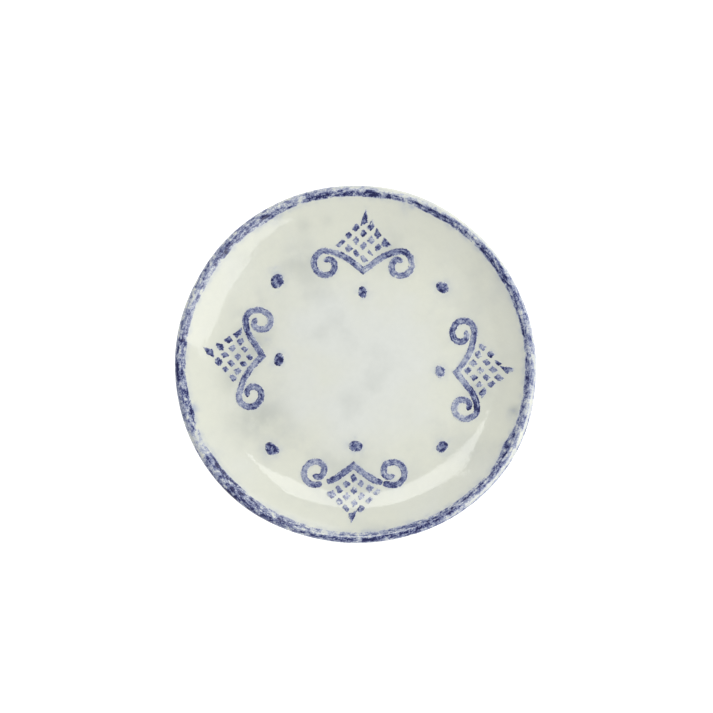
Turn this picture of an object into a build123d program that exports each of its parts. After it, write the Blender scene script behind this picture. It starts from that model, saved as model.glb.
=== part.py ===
from build123d import *
import math
import os

# ---------------------------------------------------------------------------
# Hand painted, tin glazed side plate: a shallow coupe with a rounded lip,
# standing on a luted foot ring, with cobalt blue brushwork on the glaze.
# Millimetres, +Z up, +Y is north. The origin is the centre of the foot ring's
# resting face.
# ---------------------------------------------------------------------------

PLATE_RADIUS = 110.0     # outermost reach, over the painted lip
WALL_THICKNESS = 6.0     # clay with its glaze on both faces
GLAZE = 0.5              # thickness of the fired glaze coat
PAINT = 0.2              # thickness of the fired cobalt brushwork
WALL_CURVE = 78.0        # radius of the wall's upward curve, on its eating face
WALL_SLOPE = 32.0        # degrees from level where the wall meets the lip
RECESS_DEPTH = 4.5       # clear height under the base, inside the foot ring

FOOT_OUTER = 62.5        # foot ring, where it is luted to the base
FOOT_INNER = 54.5
FOOT_DRAFT = 1.5         # each side of the ring leans in by this much to its tread
FOOT_ROUND = 1.0         # wiped edges of the tread

BAND_INNER = 103.4       # the painted rim band starts here on the wall
BAND_DROP = 1.5          # and ends this far below the lip's centre, outside

# ---------------------------------------------------------------------------
# Sizes that follow from those above
# ---------------------------------------------------------------------------

LIP_RADIUS = WALL_THICKNESS / 2
LIP_CENTRE = PLATE_RADIUS - PAINT - LIP_RADIUS
FLOOR_RADIUS = LIP_CENTRE - (WALL_CURVE + LIP_RADIUS) * math.sin(math.radians(WALL_SLOPE))
FLOOR_Z = RECESS_DEPTH + WALL_THICKNESS
CURVE_Z = FLOOR_Z + WALL_CURVE
UNDER_CURVE = WALL_CURVE + WALL_THICKNESS
LIP_Z = CURVE_Z - (WALL_CURVE + LIP_RADIUS) * math.cos(math.radians(WALL_SLOPE))
TALL = 2 * PLATE_RADIUS  # taller and wider than anything in the plate

# ---------------------------------------------------------------------------
# The painted marks. Each of the four motifs has its own frame: u runs to the
# right and v outwards to the lip, with the point of the chevron at the origin.
# A scroll is given as its eye (u, v) and the half width and half height of its
# volute. No two are quite alike, because they are painted freehand.
# ---------------------------------------------------------------------------

MOTIFS = {
    "north": {
        "point": (4.4, 56.7), "outwards": 86.4,
        "left": (-24.4, 5.6, 7.4, 8.3), "right": (22.6, 7.0, 6.9, 8.1),
        "dot": (-11.0, 5.2, 7.3, 10.0),
    },
    "west": {
        "point": (-55.8, 6.1), "outwards": 171.3,
        "left": (-25.2, 5.5, 7.4, 7.6), "right": (21.6, 7.4, 6.6, 8.3),
        "dot": (-7.9, 7.9, 5.8, 0.0),
    },
    "south": {
        "point": (-1.3, -59.4), "outwards": 268.0,
        "left": (-24.7, 6.2, 7.3, 7.9), "right": (23.6, 7.3, 7.1, 8.0),
        "dot": (-10.6, 7.6, 6.2, 0.0),
    },
    "east": {
        "point": (59.6, -4.8), "outwards": -2.9,
        "left": (-24.7, 4.9, 7.4, 7.7), "right": (22.6, 8.4, 7.4, 7.8),
        "dot": (-8.9, 8.0, 6.0, 0.0),
    },
}

# Single dots between the motifs: centre x and y, length, breadth, turn in degrees.
CORNER_DOTS = {
    "northwest": (-49.1, 53.0, 9.1, 7.6, 60.0),
    "northeast": (52.5, 48.3, 7.8, 6.2, 140.0),
    "southwest": (-52.0, -50.3, 9.0, 6.8, 145.0),
    "southeast": (51.8, -50.0, 7.6, 6.0, 50.0),
}

STROKE_WIDTH = 3.9       # full width of a brush stroke
STROKE_TIP = 0.55        # share of that width left where the brush lifts
STROKE_SWELL = 0.2       # share that it gains with each point away from there
ARM_START = 1.7          # the arm's middle line starts this far out from the point
ARM_SLOPE = 38.0         # degrees, how the arm leaves the point
ARM_LEAVE = 0.5          # pull of that slope, as a share of the arm's length
ARM_ARRIVE = 0.38        # pull of the volute's direction, in the same way
ARM_POINTS = 8
VOLUTE_JOIN = 100.0      # degrees round the eye where the arm becomes the volute
VOLUTE_SWEEP = 368.0     # degrees that the volute turns
VOLUTE_POINTS = 24
HOOK_START = 250.0       # degrees of that sweep before it turns in to the eye
HOOK_POWER = 1.3
EYE_SHARE = 0.12         # share of the volute's radius where the brush lifts
LIFT_AFTER = 7           # the brush lifts after this many arm points on the south motif

LATTICE_SIDE = 4         # dashes along each side of the diamond
LATTICE_START = 9.0      # first dash, outwards from the point
STEP_U = 4.55
STEP_V = 3.8
LEAN = (-0.6, -0.17)     # sideways set of the first dash, and more of it per row
TILT = 0.3               # rise per column to the right
SAG = 0.24               # drop of the outer columns, times the column squared
DASH_U = 1.9             # half breadth of a dash
DASH_V = 2.2             # half length of a dash
TIP_V = 5.0              # half length of the long dash at the spire
CORNER_U = 3.1           # half breadth of the long dashes at the two side corners


# ---------------------------------------------------------------------------
# Turned pieces: every one is a region between two copies of the same outline
# ---------------------------------------------------------------------------

def half_section(skin):
    """Half of the plate's outline, `skin` millimetres inside its glazed surface."""
    base_z = RECESS_DEPTH + skin
    outline = [
        Line((0, FLOOR_Z - skin), (FLOOR_RADIUS, FLOOR_Z - skin)),
        CenterArc((FLOOR_RADIUS, CURVE_Z), WALL_CURVE + skin, -90, WALL_SLOPE),
        CenterArc((LIP_CENTRE, LIP_Z), LIP_RADIUS - skin, 90 + WALL_SLOPE, -180),
        CenterArc((FLOOR_RADIUS, CURVE_Z), UNDER_CURVE - skin, WALL_SLOPE - 90, -WALL_SLOPE),
        Line((FLOOR_RADIUS, base_z), (0, base_z)),
        Line((0, base_z), (0, FLOOR_Z - skin)),
    ]
    return make_face(outline)


def window(r_from, r_to, z_from, z_to):
    """Rectangle in the half section's plane, used to keep or remove part of it."""
    return Pos((r_from + r_to) / 2, (z_from + z_to) / 2) * Rectangle(r_to - r_from, z_to - z_from)


def turned(section):
    """Spin a half section about the plate's axis."""
    return revolve(Plane.XZ * section, Axis.Z)


def clay_body():
    """Thrown stoneware plate, without its foot and its glaze."""
    return turned(half_section(GLAZE))


def foot_ring():
    """Coil of clay luted under the base, with a wiped, unglazed tread."""
    top = RECESS_DEPTH + GLAZE
    profile = Polygon(
        (FOOT_INNER, top), (FOOT_OUTER, top), (FOOT_OUTER - FOOT_DRAFT, 0), (FOOT_INNER + FOOT_DRAFT, 0),
        align=None,
    )
    tread = profile.vertices().group_by(Axis.Y)[0]
    return turned(fillet(tread, FOOT_ROUND))


def glaze_coat():
    """Tin glaze over the eating face, the lip and the outside, down to the foot ring."""
    skin = half_section(0) - half_section(GLAZE)
    return turned(skin - window(-1, FOOT_OUTER, 0, FLOOR_Z - WALL_THICKNESS / 2))


def recess_glaze():
    """Pool of the same glaze inside the foot ring."""
    return Pos(0, 0, RECESS_DEPTH + GLAZE / 2) * Cylinder(FOOT_INNER, GLAZE)


def rim_band():
    """Cobalt band laid over the lip with a loaded brush."""
    coat = half_section(-PAINT) - half_section(0)
    return turned(coat & window(BAND_INNER, TALL, LIP_Z - BAND_DROP, TALL))


def face_paint():
    """Layer of paint over the floor and the wall of the eating face, which the marks are cut from."""
    wall = CenterArc((FLOOR_RADIUS, CURVE_Z), WALL_CURVE, -90, WALL_SLOPE)
    painted_wall = CenterArc((FLOOR_RADIUS, CURVE_Z), WALL_CURVE - PAINT, WALL_SLOPE - 90, -WALL_SLOPE)
    outline = [
        Line((0, FLOOR_Z), (FLOOR_RADIUS, FLOOR_Z)),
        wall,
        Line(wall @ 1, painted_wall @ 0),
        painted_wall,
        Line((FLOOR_RADIUS, FLOOR_Z + PAINT), (0, FLOOR_Z + PAINT)),
        Line((0, FLOOR_Z + PAINT), (0, FLOOR_Z)),
    ]
    return turned(make_face(outline))


# ---------------------------------------------------------------------------
# Brush strokes, drawn flat and then laid on the glaze
# ---------------------------------------------------------------------------

def volute_point(scroll, turned_by):
    """Middle line of a volute after `turned_by` degrees from where the arm joins it."""
    eye_u, eye_v, half_u, half_v = scroll
    side = math.copysign(1, eye_u)
    hook = max(0.0, (turned_by - HOOK_START) / (VOLUTE_SWEEP - HOOK_START))
    reach = 1 - (1 - EYE_SHARE) * hook ** HOOK_POWER
    angle = math.radians(VOLUTE_JOIN - turned_by)
    across = side * half_u * reach * math.cos(angle)
    return Vector(eye_u + across, eye_v + half_v * reach * math.sin(angle))


def scroll_line(scroll):
    """Middle line of a scroll: the arm from the point, then the volute to its eye."""
    side = math.copysign(1, scroll[0])
    start = Vector(0, ARM_START)
    join = volute_point(scroll, 0)
    along_volute = (volute_point(scroll, 1) - join).normalized()
    reach = (join - start).length
    slope = math.radians(ARM_SLOPE)
    leave = start + Vector(side * math.cos(slope), math.sin(slope)) * (ARM_LEAVE * reach)
    arrive = join - along_volute * (ARM_ARRIVE * reach)
    arm = Bezier(start, leave, arrive, join)
    points = [arm @ (k / ARM_POINTS) for k in range(ARM_POINTS)]
    points += [volute_point(scroll, VOLUTE_SWEEP * k / VOLUTE_POINTS) for k in range(VOLUTE_POINTS + 1)]
    return points


def brush_stroke(line, starts_full):
    """Closed outline of one brush stroke along a middle line."""
    last = len(line) - 1
    left, right = [], []
    for k, point in enumerate(line):
        ahead = line[min(k + 1, last)] - line[max(k - 1, 0)]
        across = Vector(-ahead.Y, ahead.X).normalized()
        ends = (last - k, last if starts_full else k)
        lift = min(1.0, STROKE_TIP + STROKE_SWELL * min(ends))
        left.append(point + across * (STROKE_WIDTH / 2 * lift))
        right.append(point - across * (STROKE_WIDTH / 2 * lift))
    edges = [Spline(*left), Line(left[-1], right[-1]), Spline(*reversed(right)), Line(right[0], left[0])]
    return make_face(edges)


def scroll_outlines(scroll, brush_lifts):
    """One scroll, in one stroke or two. It meets its neighbour along the motif's axis, u = 0."""
    side = math.copysign(1, scroll[0])
    line = scroll_line(scroll)
    before = line[0] - (line[1] - line[0]).normalized() * STROKE_WIDTH
    arm_end = LIFT_AFTER if brush_lifts else len(line)
    own_half = Pos(side * TALL / 2, 0) * Rectangle(TALL, TALL)
    strokes = [brush_stroke([before] + line[:arm_end], True) & own_half]
    if brush_lifts:
        strokes.append(brush_stroke(line[LIFT_AFTER:], False))
    return strokes


def lattice_outlines():
    """Sixteen dashes in a diamond, drawn out at its spire and at its side corners."""
    dashes = []
    for row in range(LATTICE_SIDE):
        for column in range(LATTICE_SIDE):
            across, rank = row - column, row + column
            u = STEP_U * across + LEAN[0] + LEAN[1] * rank
            v = LATTICE_START + STEP_V * rank + TILT * across - SAG * across ** 2
            half_u = CORNER_U if abs(across) == LATTICE_SIDE - 1 else DASH_U
            half_v = TIP_V if rank == 2 * (LATTICE_SIDE - 1) else DASH_V
            corners = [(u - half_u, v), (u, v - DASH_V), (u + half_u, v), (u, v + half_v)]
            dashes.append(Polygon(*corners, align=None))
    return dashes


def dot_outlines(length, breadth, turn):
    """A dot pressed down with the belly of the brush."""
    return [Rot(0, 0, turn) * Ellipse(length / 2, breadth / 2)]


def laid_on_glaze(outlines, place):
    """Stand the flat outlines up as prisms at `place` and keep what lies in the layer of paint."""
    coat = face_paint()
    marks = []
    for outline in outlines:
        marks += (extrude(place * outline, TALL, dir=(0, 0, 1)) & coat).solids()
    return Compound(children=marks) if len(marks) > 1 else marks[0]


# ---------------------------------------------------------------------------
# The whole plate
# ---------------------------------------------------------------------------

def motif_pieces(name, motif):
    """Two scrolls, a lattice and an inner dot, placed on the plate."""
    place = Location((*motif["point"], 0), (0, 0, motif["outwards"] - 90))
    dot_v, dot_length, dot_breadth, dot_turn = motif["dot"]
    brush_lifts = name == "south"
    return {
        f"{name}_scroll_left": laid_on_glaze(scroll_outlines(motif["left"], brush_lifts), place),
        f"{name}_scroll_right": laid_on_glaze(scroll_outlines(motif["right"], brush_lifts), place),
        f"{name}_lattice": laid_on_glaze(lattice_outlines(), place),
        f"{name}_dot": laid_on_glaze(dot_outlines(dot_length, dot_breadth, dot_turn), place * Pos(0, dot_v)),
    }


def plate_pieces():
    """Every piece of the plate, by node name."""
    pieces = {
        "clay_body": clay_body(),
        "foot_ring": foot_ring(),
        "glaze_coat": glaze_coat(),
        "recess_glaze": recess_glaze(),
        "rim_band": rim_band(),
    }
    for name, motif in MOTIFS.items():
        pieces.update(motif_pieces(name, motif))
    for name, (x, y, length, breadth, turn) in CORNER_DOTS.items():
        pieces[f"{name}_dot"] = laid_on_glaze(dot_outlines(length, breadth, turn), Pos(x, y))
    return pieces


os.makedirs("parts", exist_ok=True)
for node, piece in plate_pieces().items():
    export_step(piece, f"parts/{node}.step")
    print(node, len(piece.solids()), "solids", round(piece.volume, 2), "mm3")
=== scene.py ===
from math import atan2, copysign, cos, degrees, exp, hypot, pi, radians, remainder, sin, sqrt

import bmesh
import bpy
from mathutils import Matrix, Vector, noise
from mathutils.kdtree import KDTree


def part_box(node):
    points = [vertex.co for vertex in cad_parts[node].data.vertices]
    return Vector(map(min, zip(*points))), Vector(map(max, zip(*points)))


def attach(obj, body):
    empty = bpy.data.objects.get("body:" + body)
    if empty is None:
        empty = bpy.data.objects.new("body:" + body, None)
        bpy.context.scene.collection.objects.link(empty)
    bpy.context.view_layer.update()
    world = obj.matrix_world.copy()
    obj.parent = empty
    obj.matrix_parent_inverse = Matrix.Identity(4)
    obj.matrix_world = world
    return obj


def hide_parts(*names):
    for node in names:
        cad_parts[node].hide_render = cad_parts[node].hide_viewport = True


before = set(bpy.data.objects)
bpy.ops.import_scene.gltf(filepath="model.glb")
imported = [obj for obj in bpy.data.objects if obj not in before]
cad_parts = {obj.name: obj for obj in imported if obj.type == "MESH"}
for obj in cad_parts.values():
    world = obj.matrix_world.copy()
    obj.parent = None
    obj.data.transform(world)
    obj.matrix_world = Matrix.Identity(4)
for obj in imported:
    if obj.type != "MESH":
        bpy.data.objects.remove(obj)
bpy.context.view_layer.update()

# ----------
# Shapes are worked out in millimetres, in the frame's own axes, and turned
# into metres when a mesh is made. +Y is north, and the plate stands on z = 0.

MM = 0.001


def low(node):
    """Lowest corner of a CAD node, in millimetres."""
    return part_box(node)[0] / MM


def high(node):
    """Highest corner of a CAD node, in millimetres."""
    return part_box(node)[1] / MM


PLATE_RADIUS = high("glaze_coat").x
RECESS_Z = low("glaze_coat").z
FLOOR_Z = low("north_dot").z
GLAZE = high("recess_glaze").z - RECESS_Z
FOOT_OUTER = high("foot_ring").x
FOOT_INNER = high("recess_glaze").x
FOOT_TOP = high("foot_ring").z

WALL_CURVE = 78.0  # radius of the wall's curve
WALL_SLOPE = radians(32.0)  # its slope where it meets the lip
THICKNESS = FLOOR_Z - RECESS_Z
LIP = THICKNESS / 2
LIP_CENTRE = PLATE_RADIUS - LIP
FLOOR_RADIUS = LIP_CENTRE - (WALL_CURVE + LIP) * sin(WALL_SLOPE)
CURVE_Z = FLOOR_Z + WALL_CURVE
LIP_Z = CURVE_Z - (WALL_CURVE + LIP) * cos(WALL_SLOPE)

# Lengths along the glazed surface, from the middle of the floor, over the lip
# and back under the plate to its axis.
WALL_START = FLOOR_RADIUS
LIP_START = WALL_START + WALL_CURVE * WALL_SLOPE
LIP_END = LIP_START + pi * LIP
UNDER_END = LIP_END + (WALL_CURVE + THICKNESS) * WALL_SLOPE
SURFACE_END = UNDER_END + FLOOR_RADIUS
FOOT_EDGE = SURFACE_END - FOOT_OUTER

PAINT = 0.05  # how far fired cobalt stands above the glaze
PAINT_EDGE = 0.012  # and how far at the edge of a mark

# ----------
# What makes the plate handmade: it is out of round, its lip rises and falls,
# and its glaze lies in faint waves.

# Each swell is (waves round the rim, size, the direction in which it is largest).
OUT_OF_ROUND = ((2, 1.05, -35.0), (3, 0.60, -32.0), (4, 0.28, -38.0), (7, 0.12, 20.0), (11, 0.07, 5.0))
LIP_RISE = ((1, 0.25, 150.0), (2, 0.35, 60.0), (3, 0.20, 10.0), (5, 0.08, 40.0))
WOBBLE_POWER = 5  # the middle of the plate stays true
WAVES = ((31.0, 0.16), (11.0, 0.060), (6.0, 0.010))  # length and height of the glaze's waves
WAVIEST = radians(140)  # the direction in which they are highest
CALM = 0.45  # share of their height in the middle of the plate
WILD = 0.9  # what the wall adds to that in the waviest direction
WAVY_WALL = (0.55, 0.85)  # shares of the plate's radius between which the wall's waves grow

# Height of the wall above its even curve, by radius: the potter's rib left a soft bend in it.
RIB_MARK = ((70.0, 0.0), (76.0, -0.02), (87.0, -0.25), (93.0, 0.0), (101.0, 0.0))
RIB_BLUR = 0.6

RING_HEIGHT = 0.10  # of the rings that the potter's tool left on the outside of the wall
RING_SPACING = 4.7
RING_DRIFT = (1.3, 6.1)  # how unevenly they are spaced, in radians, and over what length
RING_FADE = (8, 6)  # lengths over which they fade in below the lip, and out at the base


def noise_at(x, y, z):
    """Smooth noise from -1 to 1, the same on every run."""
    return noise.noise(Vector((x, y, z)))


def swell(terms, angle):
    """Sum of the swells in a direction, given in radians."""
    return sum(size * cos(n * (angle - radians(at))) for n, size, at in terms)


def wave_height(x, y):
    """How far the surface lies above its ideal height."""
    out = hypot(x, y) / PLATE_RADIUS
    toward = 0.5 + 0.5 * cos(atan2(y, x) - WAVIEST)
    gain = CALM + WILD * smooth(*WAVY_WALL, out) * toward
    total = 0.0
    for k, (length, height) in enumerate(WAVES):
        total += height * noise_at(x / length, y / length, 7.3 + 3.1 * k)
    return gain * total


def rib_height(r):
    """Height of the rib mark at a radius."""
    if not RIB_MARK[0][0] < r < RIB_MARK[-1][0]:
        return 0.0
    total = 0.0
    for offset in (-RIB_BLUR, 0.0, RIB_BLUR):
        for (r_a, z_a), (r_b, z_b) in zip(RIB_MARK, RIB_MARK[1:]):
            if r_a <= r + offset < r_b:
                total += z_a + (z_b - z_a) * (r + offset - r_a) / (r_b - r_a)
    return total / 3


def smooth(start, end, value):
    """Smooth step from 0 at start to 1 at end."""
    t = min(1.0, max(0.0, (value - start) / (end - start)))
    return t * t * (3 - 2 * t)


def handmade(x, y, z):
    """Move an ideal point to where it is on the real plate."""
    angle = atan2(y, x)
    share = (hypot(x, y) / PLATE_RADIUS) ** WOBBLE_POWER
    stretch = 1 + swell(OUT_OF_ROUND, angle) * share / max(hypot(x, y), 1.0)
    lift = swell(LIP_RISE, angle) * share + rib_height(hypot(x, y))
    if z > RECESS_Z - 1:
        lift += wave_height(x, y) * smooth(0, 3, z - RECESS_Z + 1)
    return Vector((x * stretch, y * stretch, z + lift))


def surface_point(s, skin):
    """Radius and height at length s along the surface, `skin` millimetres under the glaze's outside."""
    if s <= WALL_START:
        return s, FLOOR_Z - skin
    if s <= LIP_START:
        angle = (s - WALL_START) / WALL_CURVE
        reach = WALL_CURVE + skin
        return FLOOR_RADIUS + reach * sin(angle), CURVE_Z - reach * cos(angle)
    if s <= LIP_END:
        angle = pi / 2 + WALL_SLOPE - (s - LIP_START) / LIP
        reach = LIP - skin
        return LIP_CENTRE + reach * cos(angle), LIP_Z + reach * sin(angle)
    if s <= UNDER_END:
        angle = WALL_SLOPE - (s - LIP_END) / (WALL_CURVE + THICKNESS)
        reach = WALL_CURVE + THICKNESS - skin + throwing_line(s)
        return FLOOR_RADIUS + reach * sin(angle), CURVE_Z - reach * cos(angle)
    return max(0.0, SURFACE_END - s), RECESS_Z + skin


def throwing_line(s):
    """Faint rings that the potter's tool leaves on the outside of the wall."""
    inside = smooth(LIP_END, LIP_END + RING_FADE[0], s) * smooth(UNDER_END, UNDER_END - RING_FADE[1], s)
    drift = RING_DRIFT[0] * sin(s / RING_DRIFT[1])
    return RING_HEIGHT * inside * sin(2 * pi * s / RING_SPACING + drift)


def top_height(r):
    """Ideal height of the eating face at a radius."""
    if r <= FLOOR_RADIUS:
        return FLOOR_Z
    return CURVE_Z - sqrt(WALL_CURVE ** 2 - (r - FLOOR_RADIUS) ** 2)


def on_glaze(x, y, above):
    """The point of the real plate straight over (x, y), `above` millimetres over its glaze."""
    angle, r = atan2(y, x), hypot(x, y)
    swelling = swell(OUT_OF_ROUND, angle)
    ideal = r
    for _ in range(4):  # few steps undo the swelling, because it is small
        ideal = r - swelling * (ideal / PLATE_RADIUS) ** WOBBLE_POWER
    return handmade(ideal * cos(angle), ideal * sin(angle), top_height(ideal) + above)


# ----------
# Meshes

def add_object(name, data):
    """New object in the scene."""
    made = bpy.data.objects.new(name, data)
    bpy.context.scene.collection.objects.link(made)
    return made


def make_piece(name, points, faces, smooth_faces, attributes=None):
    """Mesh object from points in millimetres. Only the first `smooth_faces` faces are shaded smooth."""
    mesh = bpy.data.meshes.new(name)
    mesh.from_pydata([tuple(p * MM) for p in points], [], faces)
    mesh.polygons.foreach_set("use_smooth", [k < smooth_faces for k in range(len(faces))])
    for label, values in (attributes or {}).items():
        if isinstance(values[0], (int, float)):
            mesh.attributes.new(label, "FLOAT", "POINT").data.foreach_set("value", values)
        else:
            flat = [part for value in values for part in value]
            mesh.attributes.new(label, "FLOAT_VECTOR", "POINT").data.foreach_set("vector", flat)
    shape = bmesh.new()
    shape.from_mesh(mesh)
    bmesh.ops.recalc_face_normals(shape, faces=shape.faces)
    shape.to_mesh(mesh)
    shape.free()
    return add_object(name, mesh)


def finish_piece(piece, slot, material, *nodes):
    """Give a piece its material and its body, and hide the CAD nodes that it stands for."""
    piece.data.materials.append(material)
    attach(piece, "root")
    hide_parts(*nodes)
    return piece


def spin(name, rows, steps):
    """Closed mesh of revolution. rows run from the axis round the section and back to the axis."""
    angles = [2 * pi * k / steps for k in range(steps)]
    first, *rings, last = rows
    points = [handmade(0, 0, first[1])]
    for r, z in rings:
        points += [handmade(r * cos(a), r * sin(a), z) for a in angles]
    points.append(handmade(0, 0, last[1]))
    end = len(points) - 1
    faces = []
    for j in range(steps):
        ahead = (j + 1) % steps
        faces.append((0, 1 + j, 1 + ahead))
        for i in range(len(rings) - 1):
            a, b = 1 + i * steps, 1 + (i + 1) * steps
            faces.append((a + j, b + j, b + ahead, a + ahead))
        base = 1 + (len(rings) - 1) * steps
        faces.append((end, base + ahead, base + j))
    return make_piece(name, points, faces, len(faces))


def spin_ring(name, section, steps):
    """Closed ring from a closed section of (radius, height) points."""
    count = len(section)
    points, faces = [], []
    for k in range(steps):
        a = 2 * pi * k / steps
        points += [handmade(r * cos(a), r * sin(a), z) for r, z in section]
        for i in range(count):
            here, ahead = k * count, (k + 1) % steps * count
            faces.append((here + i, ahead + i, ahead + (i + 1) % count, here + (i + 1) % count))
    return make_piece(name, points, faces, len(faces))


def spaced(start, end, step):
    """Even lengths from start to end, about `step` apart, without the end itself."""
    count = max(1, round((end - start) / step))
    return [start + (end - start) * k / count for k in range(count)]


def sheet_mesh(name, rows, closed, attributes):
    """Closed thin piece from rows of (low point, high point), with a smooth top and flat edges."""
    width = len(rows[0])
    tops = [point for row in rows for _, point in row]
    bottoms = [point for row in rows for point, _ in row]
    under = len(tops)
    count = len(rows)
    spans = count if closed else count - 1
    faces = []
    for i in range(spans):
        a, b = i * width, (i + 1) % count * width
        faces += [(a + j, a + j + 1, b + j + 1, b + j) for j in range(width - 1)]
    top_faces = len(faces)
    faces += [tuple(under + corner for corner in reversed(face)) for face in faces]
    for i in range(spans):
        a, b = i * width, (i + 1) % count * width
        faces.append((a, b, under + b, under + a))
        faces.append((b + width - 1, a + width - 1, under + a + width - 1, under + b + width - 1))
    if not closed:
        z = (count - 1) * width
        for j in range(width - 1):
            faces.append((j + 1, j, under + j, under + j + 1))
            faces.append((z + j, z + j + 1, under + z + j + 1, under + z + j))
    doubled = {label: values + values for label, values in attributes.items()}
    return make_piece(name, tops + bottoms, faces, top_faces, doubled)


# ----------
# Painted marks. Each motif has its own axes: u to the right and v outwards,
# with the point of its chevron at the origin. A scroll is given as its eye
# (u, v) and the half width and half height of its volute, and a dot as its
# middle, length, breadth, turn in degrees and load of paint. `gap` is the
# length of stroke left out where the brush was lifted, in the left and right
# scroll, and `lattice` is how far the lattice is from its even place.

MOTIFS = {
    "north": {
        "point": (4.4, 56.7), "outwards": 86.4, "gap": (0, 0),
        "left": (-23.5, 5.4, 7.1, 7.5), "right": (22.9, 7.15, 6.8, 7.55),
        "dot": (0.5, -11.6, 5.4, 7.6, 10.0, 0.78), "lattice": (0.3, -0.2),
    },
    "west": {
        "point": (-55.8, 6.1), "outwards": 171.3, "gap": (0, 0),
        "left": (-25.0, 5.4, 7.1, 6.8), "right": (21.4, 7.7, 6.4, 7.85),
        "dot": (-0.8, -8.8, 8.2, 6.1, 0.0, 0.88), "lattice": (-1.25, -0.4),
    },
    "south": {
        "point": (-1.3, -59.4), "outwards": 268.0, "gap": (1.2, 3.6),
        "left": (-24.2, 6.1, 7.0, 7.0), "right": (23.25, 7.2, 6.65, 7.1),
        "dot": (-1.0, -10.0, 8.6, 6.9, 0.0, 0.80), "lattice": (0.0, 0.0),
    },
    "east": {
        "point": (59.6, -4.8), "outwards": -2.9, "gap": (0, 0),
        "left": (-24.5, 5.05, 7.1, 6.75), "right": (21.9, 8.4, 6.4, 7.0),
        "dot": (-0.1, -8.2, 8.2, 6.2, 0.0, 0.50), "lattice": (-0.8, -0.7),
    },
}

# Single dots between the motifs, in the same way but placed by x and y.
CORNER_DOTS = {
    "northwest": (-48.4, 52.6, 9.3, 7.9, 60.0, 0.78),
    "northeast": (53.2, 47.4, 8.4, 6.6, 140.0, 0.75),
    "southwest": (-51.3, -50.7, 9.4, 7.2, 145.0, 0.82),
    "southeast": (52.5, -50.3, 8.0, 6.5, 50.0, 0.75),
}

# How much paint the brush carried, in percent, at even steps from the point to the eye.
SCROLL_LOADS = {
    ("north", "left"): (52, 70, 65, 60, 77, 64, 69, 81),
    ("north", "right"): (40, 48, 77, 81, 46, 56, 62, 73),
    ("west", "left"): (64, 48, 73, 48, 52, 78, 81, 56, 77),
    ("west", "right"): (67, 62, 87, 69, 54, 46, 52, 62),
    ("south", "left"): (54, 46, 60, 83, 69, 64, 52, 70, 60),
    ("south", "right"): (62, 75, 77, 81, 52, 41, 48, 59, 92),
    ("east", "left"): (51, 40, 52, 65, 62, 73, 75, 52),
    ("east", "right"): (52, 40, 81, 87, 56, 36, 40, 60, 81),
}

# The same for the lattice's dashes. Rows climb to the right of the motif, columns to its left. In the south
# motif the dashes that lie under the crescent of light carry less, a painted highlight that pales them as
# the glaze's reflection does.
DASH_LOADS_AND_HIGHLIGHT = {
    "north": ((47, 62, 67, 57), (44, 49, 70, 78), (67, 65, 77, 70), (77, 75, 73, 77)),
    "west": ((65, 75, 57, 62), (70, 70, 60, 65), (70, 64, 60, 77), (72, 83, 82, 80)),
    # South: the low loads of the dashes under the crescent of light are a painted highlight.
    "south": ((72, 55, 50, 30), (64, 62, 36, 38), (70, 38, 36, 60), (66, 46, 62, 66)),
    "east": ((55, 57, 55, 52), (64, 62, 64, 59), (64, 65, 65, 60), (69, 64, 67, 69)),
}

# Dashes whose corners the brush dragged out, and where those corners lie from the dash's middle.
DRAGGED = {
    "north": {
        (3, 3): ((1.7, 7.2), (3.2, -0.8), (-1.7, -3.1), (-0.7, 1.2)), (3, 2): ((0.9, 4.6),),
        (3, 1): ((-0.8, 4.2),), (3, 0): ((-1.2, 4.2), (4.0, -1.4), (-2.6, -1.0)),
        (0, 3): ((-3.8, -0.8), (3.0, 1.5)), (0, 0): ((-3.2, 1.5), (3.4, -1.4)),
        (1, 0): ((2.2, -2.4), (-1.6, 2.8)), (0, 1): ((2.6, -1.0), (-2.6, 1.2)), (2, 2): ((-0.3, 2.9),),
        (2, 3): ((-2.6, -1.0),),
    },
    "west": {
        (3, 3): ((3.3, 7.2), (2.2, 0.2), (-2.5, -1.3), (-1.2, 3.2)),
        (3, 0): ((5.0, -2.2), (0.9, -3.1), (-2.8, -0.2), (-0.7, 2.6)), (3, 1): ((2.8, -0.4), (-0.6, 3.4)),
        (3, 2): ((1.9, 2.9), (-2.2, -2.4), (1.7, -1.6)), (2, 3): ((1.6, 2.2), (-2.6, -1.6)),
        (0, 3): ((3.0, 1.8), (-2.6, -0.6)), (1, 3): ((0.6, 2.8),),
    },
    "south": {
        (3, 3): ((1.2, 5.8), (-2.5, -3.7), (3.0, -0.9), (-1.0, 0.8)), (3, 0): ((3.6, -0.4), (-3.4, 0.6)),
        (0, 3): ((2.8, 0.6), (-2.8, -0.8)), (3, 1): ((2.4, -0.3), (-0.3, 2.7)),
        (1, 3): ((2.6, 0.8), (-2.2, -1.0)), (2, 0): ((2.6, -1.0), (-2.6, 0.9)),
        (0, 0): ((2.6, -1.0), (-2.4, 1.2)),
    },
    "east": {
        (3, 3): ((1.7, 6.2), (2.9, 0.6), (-2.0, -3.5), (-0.6, 5.3)), (3, 0): ((4.0, -0.8), (-3.2, 0.8)),
        (0, 3): ((-2.8, -1.2), (2.6, 1.0)), (3, 2): ((0.8, 3.6),), (2, 3): ((-2.0, -2.6), (0.9, 2.4)),
        (3, 1): ((-0.9, 2.6),),
    },
}

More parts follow.
